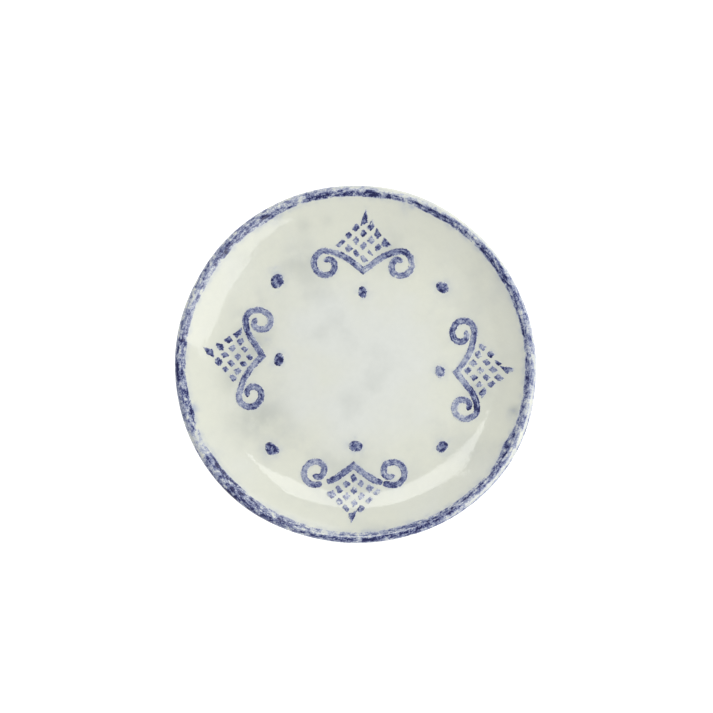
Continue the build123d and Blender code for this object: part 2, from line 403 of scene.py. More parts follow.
SUNK = 0.02  # how deep the underside of a mark lies in the glaze
STROKE_WIDTH = 4.15
STROKE_TIP = 0.82  # share of that width left where the brush lifts
RAGGED = ((0.8, 0.22), (1.5, 0.27), (3.4, 0.23), (9.0, 0.19))  # length and size of a stroke's uneven edge
TIP_LENGTH = 4.2  # the stroke has its full width this far from there
TIP_BULGE = (0.5, 1.2)  # how far the middle of its end stands out, and over what length
ARM_START = 1.7  # how far out the arms begin
ARM_SLOPE = radians(38.0)
ARM_LEAVE = 0.5  # pull of the arm's curve at its two ends, as a share of its reach
ARM_ARRIVE = 0.38
VOLUTE_JOIN = 100.0  # direction from the eye to the end of the arm, in degrees
VOLUTE_SWEEP = 368.0  # how far the volute winds from there
HOOK_START = 228.0  # after how much of that it closes in on the eye
HOOK_POWER = 1.3
EYE_SHARE = 0.12  # share of its radius left at its end
LIFT_AT = 0.81  # where along the arm the brush is lifted, as a share of it
ARM_SAMPLES = 56
VOLUTE_SAMPLES = 104
MITRE_LENGTH = 3.0  # length over which the two arms' mitre turns into a plain stroke
ACROSS = 9  # points across a stroke

LATTICE_SIDE = 4  # dashes along each side
LATTICE_START = 9.35  # how far out its first dash is
STEP_U = 4.55  # from one dash to the next, across and outwards
STEP_V = 3.8
LEAN = (-0.6, -0.17)  # how far it starts to the side, and moves there with each rank
TILT = 0.3  # how far it climbs to the right with each dash
SAG = 0.24  # and hangs down at its two sides
JITTER = 0.45  # how far a dash is from its place
DASH_U = 2.45  # half width and half height of a dash
DASH_V = 2.65
DASH_LEAN = 1.6  # how far its outer corner may be to the side,
DASH_OUT = 3.1  # and how far out it is
DASH_TWIST = 0.5  # how far its other corners may turn, in radians,
DASH_UNEVEN = 0.35  # and be nearer or further, as a share
DASH_CLEAR = 0.75  # a corner nearer than this to a dragged one is left out, in radians
DASH_ROUNDING = 0.16  # radians

# Noise of the outlines: how fine it is, its size as a share, and what its seed is multiplied by.
DASH_EDGE = ((1.6, 0.22, 5.1), (4.1, 0.16, 2.3))
DOT_EDGE = ((1.1, 0.16, 1.3), (4.2, 0.09, 2.9))

DAB_GRAIN = (5.0, 0.45)  # turns the long streaks of a stroke into the round grain of a dab
DAB_PATCH = (0.25, 3.0)  # how unevenly a dab is loaded, and over what length
RINGS = 5  # rings of points in a dab
AROUND = 40


def on_plate(motif, u, v):
    """Position on the plate of (u, v) in a motif's own axes."""
    x, y = motif["point"]
    turn = radians(motif["outwards"])
    return x + u * sin(turn) + v * cos(turn), y - u * cos(turn) + v * sin(turn)


def volute_point(scroll, turned_by):
    """Middle line of a volute after `turned_by` degrees from where the arm joins it."""
    eye_u, eye_v, half_u, half_v = scroll
    side = copysign(1, eye_u)
    hook = max(0.0, (turned_by - HOOK_START) / (VOLUTE_SWEEP - HOOK_START))
    reach = 1 - (1 - EYE_SHARE) * hook ** HOOK_POWER
    angle = radians(VOLUTE_JOIN - turned_by)
    half_u *= side * reach
    half_v *= reach
    return Vector((eye_u + half_u * cos(angle), eye_v + half_v * sin(angle)))


def arm_points(scroll):
    """Middle line of a scroll's arm, a cubic curve from the point to the volute."""
    side = copysign(1, scroll[0])
    start, join = Vector((0, ARM_START)), volute_point(scroll, 0)
    along_volute = (volute_point(scroll, 1) - join).normalized()
    reach = (join - start).length
    leave = start + Vector((side * cos(ARM_SLOPE), sin(ARM_SLOPE))) * (ARM_LEAVE * reach)
    arrive = join - along_volute * (ARM_ARRIVE * reach)
    points = []
    for k in range(ARM_SAMPLES):
        t = k / ARM_SAMPLES
        near_start = start * (1 - t) ** 3 + leave * (3 * t * (1 - t) ** 2)
        points.append(near_start + arrive * (3 * t * t * (1 - t)) + join * t ** 3)
    return points


def walked(points):
    """Length from the first point to each of them."""
    lengths = [0.0]
    for a, b in zip(points, points[1:]):
        lengths.append(lengths[-1] + (b - a).length)
    return lengths


def between(values, share):
    """Value at a share of the way along a row of evenly spaced values."""
    place = min(1.0, max(0.0, share)) * (len(values) - 1)
    k = min(int(place), len(values) - 2)
    return values[k] + (values[k + 1] - values[k]) * smooth(0, 1, place - k)


def rough(place, length, seed):
    """Noise from -1 to 1 along a line, with features of about `length`."""
    return noise_at(place / length, 3.7 * seed, 1.9)


def around(angle, radius, seed):
    """Noise from -1 to 1 round a circle. The larger its radius, the finer the noise."""
    return noise_at(radius * cos(angle), radius * sin(angle), seed)


def stroke_rows(points, seed, mitred, blunt_start):
    """Rows of (u, v, share across, length along) for one brush stroke along its middle line."""
    lengths = walked(points)
    total = lengths[-1]
    bulge, bulge_length = TIP_BULGE
    rows = []
    for k, point in enumerate(points):
        ahead = (points[min(k + 1, len(points) - 1)] - points[max(k - 1, 0)]).normalized()
        normal = Vector((-ahead.y, ahead.x))
        s = lengths[k]
        reach = STROKE_TIP + (1 - STROKE_TIP) * smooth(0, TIP_LENGTH, total - s)
        if blunt_start:
            reach *= STROKE_TIP + (1 - STROKE_TIP) * smooth(0, TIP_LENGTH / 2, s)
        settle = smooth(0, MITRE_LENGTH, s) if mitred else 1.0
        skew = -normal.x / ahead.x * (1 - settle) if settle < 1 else 0.0
        near_end = smooth(bulge_length, 0, total - s)
        if blunt_start:
            near_end -= smooth(bulge_length, 0, s)
        row = []
        for j in range(ACROSS):
            share = 2 * j / (ACROSS - 1) - 1
            edge = seed + (10 if share > 0 else 20)
            ragged = sum(size * rough(s, length, edge + size) for length, size in RAGGED)
            half = STROKE_WIDTH / 2 * reach + settle * ragged
            end_pull = bulge * (1 - share * share) * near_end
            spot = point + (normal + ahead * skew) * (half * share) + ahead * end_pull
            row.append((spot.x, spot.y, share, s))
        rows.append(row)
    return rows


def paint_height(share):
    """Height of the paint above the glaze, from the middle (0) to the edge (1) of a mark."""
    return PAINT_EDGE + (PAINT - PAINT_EDGE) * (1 - abs(share) ** 3)


def strip_data(motif, rows, loads, start, total, seed):
    """Points and vertex data of one stroke. `start` and `total` place it along its whole scroll."""
    placed, brush, load, edge = [], [], [], []
    for row in rows:
        line = []
        for u, v, share, s in row:
            x, y = on_plate(motif, u, v)
            line.append((on_glaze(x, y, -SUNK), on_glaze(x, y, paint_height(share))))
            brush.append((s, share * STROKE_WIDTH / 2, float(seed)))
            load.append(between(loads, (start + s) / total))
            edge.append(abs(share))
        placed.append(line)
    return placed, {"brush": brush, "load": load, "edge": edge}


def merge(name, parts):
    """One object from several."""
    first = parts[0]
    if len(parts) > 1:
        with bpy.context.temp_override(active_object=first, object=first, selected_editable_objects=parts):
            bpy.ops.object.join()
    first.name = name
    return first


def scroll_piece(name, key, motif, seed):
    """One scroll of a motif: an arm and a volute, in one stroke or, where the brush was lifted, in two."""
    scroll = motif[key]
    gap = motif["gap"][0 if key == "left" else 1]
    arm = arm_points(scroll)
    volute = [volute_point(scroll, VOLUTE_SWEEP * k / VOLUTE_SAMPLES) for k in range(VOLUTE_SAMPLES + 1)]
    line = arm + volute
    lengths = walked(line)
    loads = [load / 100 for load in SCROLL_LOADS[name, key]]
    if not gap:
        spans = [(0, len(line))]
    else:
        lift = lengths[ARM_SAMPLES] * LIFT_AT
        last = max(k for k, s in enumerate(lengths) if s < lift - gap / 2)
        first = min(k for k, s in enumerate(lengths) if s > lift + gap / 2)
        spans = [(0, last + 1), (first, len(line))]
    strips = []
    for n, (first, end) in enumerate(spans):
        rows = stroke_rows(line[first:end], seed + 30 * n, mitred=n == 0, blunt_start=n > 0)
        grid, data = strip_data(motif, rows, loads, lengths[first], lengths[-1], seed + n)
        strips.append(sheet_mesh(f"{name}_{key}_{n}", grid, False, data))
    return merge(f"{name}_{key}_scroll_paint", strips)


def blob(name, to_plate, reach, load, seed, first_turn=0.0):
    """A mark pressed down in one touch. `reach` gives how far its outline is in a direction."""
    tops, bottoms, brush, loads, edge = [], [], [], [], []
    for ring in range(1, RINGS + 1):
        share = ring / RINGS
        for k in range(AROUND):
            turn = first_turn + 2 * pi * k / AROUND
            u, v = share * reach(turn) * cos(turn), share * reach(turn) * sin(turn)
            x, y = to_plate(u, v)
            tops.append(on_glaze(x, y, paint_height(share)))
            brush.append((u * DAB_GRAIN[0], v * DAB_GRAIN[1], float(seed)))
            loads.append(load + DAB_PATCH[0] * rough(u + v, DAB_PATCH[1], seed))
            edge.append(share)
            if ring == RINGS:
                bottoms.append(on_glaze(x, y, -SUNK))
    centre = to_plate(0, 0)
    points = tops + bottoms + [on_glaze(*centre, PAINT), on_glaze(*centre, -SUNK)]
    rim = (RINGS - 1) * AROUND
    under, top_centre, low_centre = RINGS * AROUND, (RINGS + 1) * AROUND, (RINGS + 1) * AROUND + 1
    faces = []
    for k in range(AROUND):
        ahead = (k + 1) % AROUND
        faces.append((top_centre, k, ahead))
        for ring in range(RINGS - 1):
            a, b = ring * AROUND, (ring + 1) * AROUND
            faces.append((a + k, b + k, b + ahead, a + ahead))
    top_faces = len(faces)
    for k in range(AROUND):
        ahead = (k + 1) % AROUND
        faces.append((rim + k, under + k, under + ahead, rim + ahead))
        faces.append((low_centre, under + ahead, under + k))
    data = {
        "brush": brush + brush[-AROUND:] + [(0.0, 0.0, float(seed))] * 2,
        "load": loads + loads[-AROUND:] + [load] * 2,
        "edge": edge + [1.0] * AROUND + [0.0, 1.0],
    }
    return make_piece(name, points, faces, top_faces, data)


def ray_to_side(turn, a, b):
    """How far out a ray from the origin meets the line through a and b."""
    ray_u, ray_v = cos(turn), sin(turn)
    side_u, side_v = b[0] - a[0], b[1] - a[1]
    across = ray_u * side_v - ray_v * side_u
    return (a[0] * side_v - a[1] * side_u) / across if abs(across) > 1e-6 else hypot(*a)


def uneven(turn, edge, seed):
    """Share by which an outline is too long in a direction."""
    return sum(size * around(turn, fine, own * seed) for fine, size, own in edge)


def dash_reach(dragged, seed):
    """Outline of a dash: a lozenge with soft corners and ragged sides. Dragged corners replace its own."""
    corners = list(dragged)
    for k, size in enumerate(() if len(dragged) == 4 else (DASH_U, DASH_V, DASH_U, DASH_V)):
        turn = pi / 2 * k + DASH_TWIST * noise_at(seed * 1.9, k * 3.1, 0.7)
        if all(abs(remainder(turn - atan2(v, u), 2 * pi)) > DASH_CLEAR for u, v in dragged):
            size *= 1 + DASH_UNEVEN * noise_at(seed * 2.7, k * 1.3, 5.2)
            corners.append((size * cos(turn), size * sin(turn)))
    corners.sort(key=lambda corner: atan2(corner[1], corner[0]))
    longest = max(hypot(*corner) for corner in corners)
    rounding = DASH_ROUNDING * (DASH_V / longest) ** 2

    def sharp(turn):
        turn = remainder(turn, 2 * pi)
        ahead = next((k for k, (u, v) in enumerate(corners) if atan2(v, u) > turn), 0)
        return ray_to_side(turn, corners[ahead - 1], corners[ahead])

    def reach(turn):
        rounded = sum(sharp(turn + rounding * k) for k in (-2, -1, 0, 1, 2)) / 5
        return rounded * (1 + uneven(turn, DASH_EDGE, seed))
    return reach


def lattice_piece(name, motif, seed):
    """The sixteen dashes of a motif's diamond."""
    dashes = []
    for row in range(LATTICE_SIDE):
        for column in range(LATTICE_SIDE):
            n = seed + row * LATTICE_SIDE + column
            across, rank = row - column, row + column
            jitter_u, jitter_v = (JITTER * noise_at(n * 1.7, 0.3, k) for k in (0, 9))
            u = STEP_U * across + LEAN[0] + LEAN[1] * rank + jitter_u + motif["lattice"][0]
            v = LATTICE_START + STEP_V * rank + TILT * across - SAG * across ** 2
            v = v + jitter_v + motif["lattice"][1]
            lean = DASH_LEAN * noise_at(n * 2.3, 4.4, 0.5)
            dragged = DRAGGED[name].get((row, column), ((lean, DASH_OUT),))
            reach = dash_reach(dragged, n)
            longest = max(dragged, key=lambda corner: hypot(*corner))
            # The south motif's loads include a painted highlight over the dashes under the crescent of
            # light.
            dashes.append(blob(
                f"{name}_dash_{row}_{column}", lambda a, b, u=u, v=v: on_plate(motif, u + a, v + b),
                reach, DASH_LOADS_AND_HIGHLIGHT[name][row][column] / 100, n, atan2(longest[1], longest[0]),
            ))
    return merge(f"{name}_lattice_paint", dashes)


def oval_reach(length, breadth, turned_by, seed):
    """Outline of a dot: an oval, a little uneven."""
    def reach(turn):
        along, across = cos(turn - turned_by) * 2 / length, sin(turn - turned_by) * 2 / breadth
        return (1 + uneven(turn, DOT_EDGE, seed)) / hypot(along, across)
    return reach


def dot_piece(name, centre, length, breadth, turn, load, seed):
    """A dot pressed down with the belly of the brush, its length turned by so many degrees."""
    x, y = centre
    reach = oval_reach(length, breadth, radians(turn), seed)
    return blob(f"{name}_dot_paint", lambda a, b: (x + a, y + b), reach, load, seed)


# ----------
# Rim band

# Where across the band its paint is given, from where the wall meets the lip.
BAND_PLACES = (-2.2, 0.0, 2.2, 3.8, 5.4)
# Each row is a direction in degrees and how much paint the band carries at those places, in percent.
BAND_LOADS = (
    (0, 42, 48, 42, 22, 18), (8, 44, 52, 44, 25, 22), (11, 55, 68, 55, 30, 25),
    (15, 45, 52, 52, 38, 28), (19, 60, 72, 60, 40, 25), (30, 60, 64, 52, 22, 0),
    (38, 62, 68, 50, 2, -30), (43, 60, 62, 42, -10, -45), (46, 35, 36, 22, -30, -50),
    (50, 74, 72, 38, -35, -50), (56, 62, 60, 25, -40, -50), (65, 70, 62, 15, -40, -50),
    (75, 62, 60, 10, -35, -40), (80, 60, 68, 15, -20, -30), (84, 92, 100, 30, 2, -10),
    (89, 70, 75, 25, 5, 0), (95, 60, 66, 22, 8, 5), (99, 84, 95, 30, 10, 8),
    (105, 84, 95, 32, 12, 10), (108, 15, 22, 22, 15, 15), (113, 50, 56, 30, 20, 22),
    (117, 46, 50, 30, 28, 35), (121, 82, 94, 40, 35, 50), (126, 38, 45, 38, 42, 50),
    (130, 45, 50, 42, 45, 50), (133, 68, 72, 45, 45, 50), (135, 45, 50, 42, 45, 50),
    (139, 82, 98, 50, 48, 55), (145, 45, 50, 50, 55, 50), (152, 48, 46, 38, 35, 22),
    (158, 45, 45, 30, 18, 5), (165, 45, 48, 32, 18, 8), (169, 78, 90, 50, 30, 12),
    (176, 60, 70, 68, 55, 42), (183, 35, 60, 78, 68, 60), (190, 62, 62, 50, 38, 32),
    (197, 92, 65, 38, 32, 28), (202, 40, 35, 30, 28, 25), (208, 0, 8, 22, 22, 20),
    (213, 75, 45, 32, 42, 60), (219, 82, 45, 40, 52, 85), (226, 85, 72, 70, 78, 100),
    (234, 72, 84, 84, 70, 88), (243, 35, 66, 84, 62, 50), (252, 30, 58, 62, 52, 42),
    (260, 15, 25, 52, 50, 40), (268, 25, 35, 82, 62, 50), (275, 30, 55, 95, 68, 40),
    (283, 35, 60, 98, 68, 38), (290, 38, 60, 90, 60, 40), (297, 42, 60, 72, 45, 40),
    (303, 45, 66, 52, 12, 50), (312, 45, 60, 36, -8, 55), (320, 42, 58, 36, -12, 52),
    (326, 45, 76, 42, -12, 46), (334, 42, 46, 28, -10, 62), (341, 50, 66, 55, -12, 46),
    (345, 30, 36, 22, -10, 36), (350, 45, 74, 42, -5, 28), (356, 42, 50, 36, 5, 22),
    (360, 42, 48, 42, 22, 18),
)
# Painted highlight: the paint is thinned in a pale line along the crest of the lip, standing for the glaze's
# reflection of the softboxes there: direction, half width in degrees, and how much of it.
BAND_CREST_PAINTED_HIGHLIGHT = ((268, 12, 0.40), (285, 12, 0.40), (72, 16, 0.25), (330, 30, 0.12))
BAND_CREST = (0.9, 0.45)  # where the crest is, and how wide
# Direction, half width in degrees, and how far the band's inner edge moves in.
BAND_BUMPS = ((-29, 4, 2.2), (228, 26, 1.2), (196, 9, 0.7), (122, 9, 0.9), (285, 12, 0.5), (62, 7, 0.5))
# Wander of its inner and outer edge: waves round the rim, size and seed.
INNER_WANDER = ((22, 0.5, 1.0), (70, 0.45, 2.0))
OUTER_WANDER = ((16, 1.2, 3.0), (60, 0.6, 4.0))
BAND_STEPS = 1440
BAND_ACROSS = 23
BAND_FEATHER = 0.8  # width of the pale margin on each side
BAND_FADE = 0.9  # how much less paint it carries there
BAND_SINK = 0.006  # how far its margins sink into the glaze
BAND_STREAK = (4.6, 1.5)  # length and breadth of a bristle's streak
BAND_START = -2.5  # from where the wall meets the lip
BAND_END = 7.2


def humps(terms, angle):
    """Sum of soft humps round the rim in a direction, given in radians."""
    total = 0.0
    for at, width, size in terms:
        apart = degrees(remainder(angle - radians(at), 2 * pi))
        total += size * exp(-(apart / width) ** 2)
    return total


def wander(terms, angle):
    """Sum of wavy noises round the rim in a direction."""
    return sum(size * around(angle, waves / (2 * pi), seed) for waves, size, seed in terms)


def band_load(angle, s):
    """How much paint the band carries in a direction, s millimetres past where the wall meets the lip."""
    bearing = degrees(angle) % 360
    k = next(k for k in range(1, len(BAND_LOADS)) if bearing <= BAND_LOADS[k][0])
    before, after = BAND_LOADS[k - 1], BAND_LOADS[k]
    share = smooth(before[0], after[0], bearing)
    across = [a / 100 + (b / 100 - a / 100) * share for a, b in zip(before[1:], after[1:])]
    place = min(max(s, BAND_PLACES[0]), BAND_PLACES[-1])
    j = next(j for j in range(1, len(BAND_PLACES)) if place <= BAND_PLACES[j])
    load = across[j - 1] + (across[j] - across[j - 1]) * smooth(BAND_PLACES[j - 1], BAND_PLACES[j], place)
    # The pale line along the crest, taken off the load here, is a painted highlight.
    crest, width = BAND_CREST
    return load - humps(BAND_CREST_PAINTED_HIGHLIGHT, angle) * exp(-(((s - crest) / width) ** 2))


def rim_band():
    """Cobalt band brushed over the lip, with an edge that wanders and bristle streaks along it."""
    grid, brush, load, edge = [], [], [], []
    length, breadth = BAND_STREAK
    for k in range(BAND_STEPS):
        a = 2 * pi * k / BAND_STEPS
        first = BAND_START - humps(BAND_BUMPS, a) + wander(INNER_WANDER, a) - BAND_FEATHER
        last = BAND_END + wander(OUTER_WANDER, a) + BAND_FEATHER
        row = []
        for j in range(BAND_ACROSS):
            share = j / (BAND_ACROSS - 1)
            s = first + (last - first) * share
            height = (PAINT + BAND_SINK) * (1 - (2 * share - 1) ** 2) - BAND_SINK
            row.append(tuple(band_point(LIP_START + s, a, skin) for skin in (SUNK, -height)))
            radius = PLATE_RADIUS / length
            brush.append((radius * cos(a), radius * sin(a), s / breadth))
            depth = min(smooth(0, 2 * BAND_FEATHER, s - first), smooth(0, 2 * BAND_FEATHER, last - s))
            load.append(band_load(a, s) - BAND_FADE * (1 - depth))
            edge.append(0.0)
        grid.append(row)
    return sheet_mesh("rim_band_paint", grid, True, {"brush": brush, "load": load, "edge": edge})


def band_point(s, angle, skin):
    """Point of the real plate at length s along its surface, in a direction."""
    r, z = surface_point(s, skin)
    return handmade(r * cos(angle), r * sin(angle), z)


# ----------
# Clay and glaze

ROUND_STEPS = 480
CLAY_STEPS = 240
FOOT_STEPS = 360
AXIS_CLEAR = 4.0  # how near the axis the clay's rings of points come
FOOT_DRAFT = 1.5  # how far the foot ring's sides lean in at the tread
FOOT_ROUND = 1.0  # radius of its wiped edges
FOOT_SIDE = 1.6  # height at which its sides run into them
FOOT_SLIP = (0.35, 0.9)  # breadth and height of the slip smeared where it meets the plate
TREAD = ((-1.2, 0.03), (0.0, 0.06), (1.2, 0.03))  # its hollow: distance from the middle, and height
POOL_DEPTH = 0.8  # how much thicker the recess glaze is near the foot ring,
POOL_EDGE = 0.85  # and right at it
POOL_REACH = 2.2


def along_surface(first, floor_step, wall_step, lip_step, under_step, end):
    """Lengths along the glazed surface, by how far apart they are on each part of it."""
    lengths = spaced(first, WALL_START, floor_step) + spaced(WALL_START, LIP_START, wall_step)
    return lengths + spaced(LIP_START, LIP_END, lip_step) + spaced(LIP_END, end, under_step) + [end]


def glaze_coat():
    """The glaze over the face, the lip and the outside of the plate, down to the foot ring."""
    outside = along_surface(1.2, 1.25, 1.2, 0.5, 1.6, FOOT_EDGE)
    inside = along_surface(3.0, 4.0, 3.0, 0.8, 3.0, FOOT_EDGE)
    rows = [surface_point(s, 0) for s in [0.0] + outside]
    rows += [surface_point(s, GLAZE) for s in reversed([0.0] + inside)]
    return spin("glazed_surface", rows, ROUND_STEPS)


def clay_body():
    """The thrown plate under the glaze."""
    lengths = along_surface(AXIS_CLEAR, 4.0, 3.0, 0.8, 3.0, SURFACE_END - AXIS_CLEAR)
    rows = [surface_point(s, GLAZE) for s in [0.0] + lengths + [SURFACE_END]]
    return spin("thrown_body", rows, CLAY_STEPS)


def wiped_edge(middle, first):
    """Quarter round of the foot ring's section, from a direction in degrees."""
    turns = [radians(first + 15 * k) for k in range(7)]
    return [(middle + FOOT_ROUND * cos(turn), FOOT_ROUND + FOOT_ROUND * sin(turn)) for turn in turns]


def foot_ring():
    """The luted coil of clay: leaning sides, wiped edges and a slightly hollowed tread."""
    slip, slip_height = FOOT_SLIP
    near, far = FOOT_INNER + FOOT_DRAFT, FOOT_OUTER - FOOT_DRAFT
    middle = (FOOT_INNER + FOOT_OUTER) / 2
    section = [(FOOT_INNER, FOOT_TOP), (FOOT_INNER + slip, FOOT_TOP - slip_height), (near - slip, FOOT_SIDE)]
    section += wiped_edge(near + FOOT_ROUND, 180)
    section += [(middle + across, height) for across, height in TREAD]
    section += wiped_edge(far - FOOT_ROUND, 270)
    section += [(far + slip, FOOT_SIDE), (FOOT_OUTER - slip, FOOT_TOP - slip_height), (FOOT_OUTER, FOOT_TOP)]
    return spin_ring("foot_coil", list(reversed(section)), FOOT_STEPS)


def recess_glaze():
    """Pool of glaze inside the foot ring, thicker where it gathers against it."""
    rows = [(0.0, RECESS_Z)]
    for r in spaced(2.5, FOOT_INNER - 2, 2.5) + spaced(FOOT_INNER - 2, FOOT_INNER, 0.4):
        rows.append((r, RECESS_Z - POOL_DEPTH * smooth(FOOT_INNER - POOL_REACH, FOOT_INNER, r) ** 2))
    rows += [(FOOT_INNER, RECESS_Z - POOL_EDGE), (FOOT_INNER, RECESS_Z + GLAZE), (0.0, RECESS_Z + GLAZE)]
    return spin("recess_pool", list(reversed(rows)), CLAY_STEPS)


# ----------
# Materials

def srgb(red, green, blue):
    """Shader colour from an ordinary 0 to 255 colour."""
    def linear(value):
        value /= 255
        return value / 12.92 if value <= 0.04045 else ((value + 0.055) / 1.055) ** 2.4
    return linear(red), linear(green), linear(blue), 1.0


CREAM = srgb(231, 233, 219)
MILK = srgb(232, 235, 229)
CLOUD = srgb(204, 208, 202)
STAIN = srgb(186, 191, 184)
BLUE_HALO = srgb(176, 186, 206)
SPECK = srgb(96, 92, 90)
CLAY = srgb(214, 190, 156)
CLAY_DARK = srgb(168, 138, 104)
COBALT_STOPS = (
    (0.00, srgb(204, 209, 217)),
    (0.25, srgb(171, 178, 198)),
    (0.50, srgb(128, 136, 169)),
    (0.70, srgb(87, 95, 140)),
    (0.86, srgb(54, 60, 110)),
    (1.00, srgb(32, 37, 86)),
)


class Shader:
    """A material being put together, with short ways to add its nodes."""

    def __init__(self, name):
        self.material = bpy.data.materials.new(name)
        self.material.use_nodes = True
        self.tree = self.material.node_tree
        self.principled = self.tree.nodes["Principled BSDF"]
        where = self.add("ShaderNodeTexCoord").outputs["Object"]
        self.place = self.vector("SCALE", where, Scale=1 / MM)

    def add(self, kind, inputs=None, **settings):
        """Add a node."""
        made = self.tree.nodes.new(kind)
        for name, value in settings.items():
            setattr(made, name, value)
        self.feed(made, inputs or {})
        return made

    def feed(self, node, inputs):
        """Set a node's inputs to values, or link them to the sockets that feed them."""
        for key, value in inputs.items():
            if isinstance(value, bpy.types.NodeSocket):
                self.tree.links.new(value, node.inputs[key])
            else:
                node.inputs[key].default_value = value

    def vector(self, operation, first, second=None, **named):
        """Vector arithmetic."""
        inputs = {0: first, **named}
        if second is not None:
            inputs[1] = second
        return self.add("ShaderNodeVectorMath", inputs, operation=operation).outputs["Vector"]

    def sum(self, first, second):
        """Sum of two values."""
        return self.add("ShaderNodeMath", {0: first, 1: second}, operation="ADD").outputs[0]

    def times(self, first, second):
        """Product of two values."""
        return self.add("ShaderNodeMath", {0: first, 1: second}, operation="MULTIPLY").outputs[0]

    def noise(self, length, seed, detail=2.0, where=None):
        """Noise with features of about `length` millimetres, spread evenly round 0."""
        made = self.add(
            "ShaderNodeTexNoise",
            {"Vector": where or self.place, "W": seed, "Scale": 1 / length, "Detail": detail},
            noise_dimensions="4D",
        )
        return self.sum(made.outputs[0], -0.5)

    def ramp(self, value, start, end, low=0.0, high=1.0):
        """Smooth step of a value from `low` at start to `high` at end."""
        inputs = {"Value": value, "From Min": start, "From Max": end, "To Min": low, "To Max": high}
        return self.add("ShaderNodeMapRange", inputs, interpolation_type="SMOOTHSTEP").outputs[0]

    def patches(self, length, seed, detail, start, end, low=0.0, high=1.0):
        """Soft patches: noise as a smooth step between two of its values."""
        return self.ramp(self.noise(length, seed, detail), start, end, low, high)

    def blend(self, share, first, second):
        """Colour between two colours."""
        return self.add("ShaderNodeMix", {0: share, 6: first, 7: second}, data_type="RGBA").outputs[2]

    def attribute(self, name, output="Fac"):
        """A value painted on the mesh's points."""
        return self.add("ShaderNodeAttribute", attribute_name=name).outputs[output]

    def bump(self, height, distance):
        """Small relief in millimetres."""
        inputs = {"Height": height, "Distance": distance * MM, "Strength": 1.0}
        return self.add("ShaderNodeBump", inputs).outputs[0]

    def surface(self, color, normal, roughness, **others):
        """The finished material."""
        self.feed(self.principled, {"Base Color": color, "Normal": normal, "Roughness": roughness, **others})
        return self.material


def glaze_color(shader):
    """Cloudy cream white of the tin glaze, cooler in the middle, with stains where the wall begins."""
    flat = shader.vector("MULTIPLY", shader.place, (1.0, 1.0, 0.0))
    radius = shader.add("ShaderNodeVectorMath", {0: flat}, operation="LENGTH").outputs["Value"]
    middle = shader.ramp(radius, 72, 30, 0.1, 0.75)
    clouds = shader.noise(34, 3.1, 3.0)
    color = shader.blend(shader.ramp(shader.sum(middle, shader.times(clouds, 1.6)), 0, 1), CREAM, MILK)
    near = shader.ramp(radius, 40, 64)
    past = shader.ramp(radius, 94, 68)
    x = shader.add("ShaderNodeSeparateXYZ", {0: shader.place}).outputs[0]
    west = shader.ramp(x, 60, -60, 0.35, 1.0)
    blotch = shader.patches(19, 8.4, 4.0, -0.02, 0.20)
    stain = shader.times(shader.times(near, past), shader.times(west, blotch))
    color = shader.blend(shader.times(stain, 0.62), color, CLOUD)
    drift = shader.patches(26, 5.5, 5.0, 0.0, 0.26)
    color = shader.blend(shader.times(drift, 0.42), color, CLOUD)
    smudge = shader.times(shader.attribute("stain"), shader.patches(11, 2.8, 4.0, -0.20, 0.12, 0.2, 1.0))
    color = shader.blend(smudge, color, STAIN)
    grain = shader.patches(3.2, 1.7, 4.0, -0.30, 0.30)
    color = shader.blend(shader.times(grain, 0.12), color, CLOUD)
    speck = shader.patches(1.5, 6.2, 1.0, 0.315, 0.36)
    return shader.blend(shader.times(speck, 0.55), color, SPECK)


def bloomed_glaze(shader):
    """Glaze colour with the blue that the cobalt bled into it round each mark."""
    halo = shader.times(shader.attribute("halo"), shader.patches(5.0, 9.1, 3.0, -0.16, 0.22, 0.1, 1.0))
    return shader.blend(halo, glaze_color(shader), BLUE_HALO)


def glaze_relief(shader):
    """Faint orange peel of a fired glaze."""
    fine = shader.noise(2.6, 2.2)
    return shader.bump(shader.sum(fine, shader.times(shader.noise(7.0, 4.4), 1.5)), 0.035)


GLAZE_ROUGHNESS = 0.06
COVER = (-0.12, 0.16)  # loads between which the pigment comes to hide the glaze


def glaze_material():
    """Tin glaze, with a blue bloom round the painted marks."""
    shader = Shader("tin glaze")
    return shader.surface(bloomed_glaze(shader), glaze_relief(shader), GLAZE_ROUGHNESS)


def plain_glaze_material():
    """The same glaze where nothing is painted near it."""
    shader = Shader("tin glaze, unpainted")
    return shader.surface(glaze_color(shader), glaze_relief(shader), GLAZE_ROUGHNESS)


